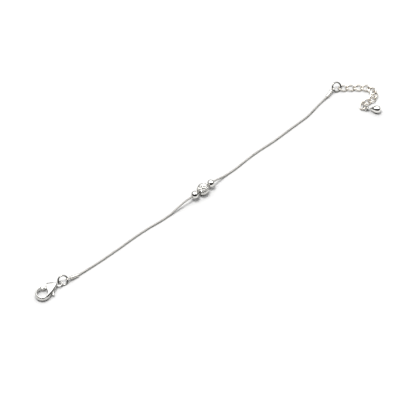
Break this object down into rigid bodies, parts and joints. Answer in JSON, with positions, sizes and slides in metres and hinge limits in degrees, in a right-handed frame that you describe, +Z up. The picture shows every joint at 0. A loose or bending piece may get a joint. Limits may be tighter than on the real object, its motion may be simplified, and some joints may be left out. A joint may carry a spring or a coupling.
{
  "type": "beaded anklet",
  "caption": "Beaded anklet: snake chain through polished and textured beads, a lobster clasp with a sprung lever, and a curb-link extender with a teardrop.",
  "frame": {"origin": "on the surface that the anklet lies on, below the middle of its bounding box", "axes": "+Z up from the surface, +X along the chain from the clasp to the extender, +Y away from the drop"},
  "size_m": [0.2094, 0.0312, 0.006],
  "materials": {
    "clasp_silver": "polished silver plate, fine cast surface",
    "ring_silver": "polished silver plate on drawn wire",
    "cap_silver": "polished silver plate on drawn tube",
    "chain_silver": "bright silver plate, fine rounded plates",
    "ball_silver": "mirror polished silver plate",
    "cut_silver": "silver plate, textured with small bright cuts",
    "link_silver": "polished silver plate on drawn wire, slightly warm",
    "drop_silver": "mirror polished silver plate"
  },
  "bodies": {
    "anklet": {"clasp_body": "clasp_silver", "clasp_pin": "clasp_silver", "clasp_ring": "ring_silver", "clasp_end_cap": "cap_silver", "left_chain": "chain_silver", "left_ball": "ball_silver", "centre_bead": "cut_silver", "right_ball": "ball_silver", "right_chain": "chain_silver", "extender_end_cap": "cap_silver", "extender_ring": "ring_silver", "link_1": "link_silver", "link_2": "link_silver", "link_3": "link_silver", "link_4": "link_silver", "link_5": "link_silver", "link_6": "link_silver", "link_7": "link_silver", "link_8": "link_silver", "link_9": "link_silver", "drop_ring": "ring_silver", "drop": "drop_silver"},
    "lever": {"clasp_lever": "clasp_silver"}
  },
  "joints": [
    {"name": "lever_open", "type": "hinge", "parent": "anklet", "child": "lever", "pos_m": [-0.0953, 0.01152, 0.0015], "axis": [0, 0, 1], "range_deg": [0, 30], "stiffness_Nm_per_rad": 0.002}
  ]
}
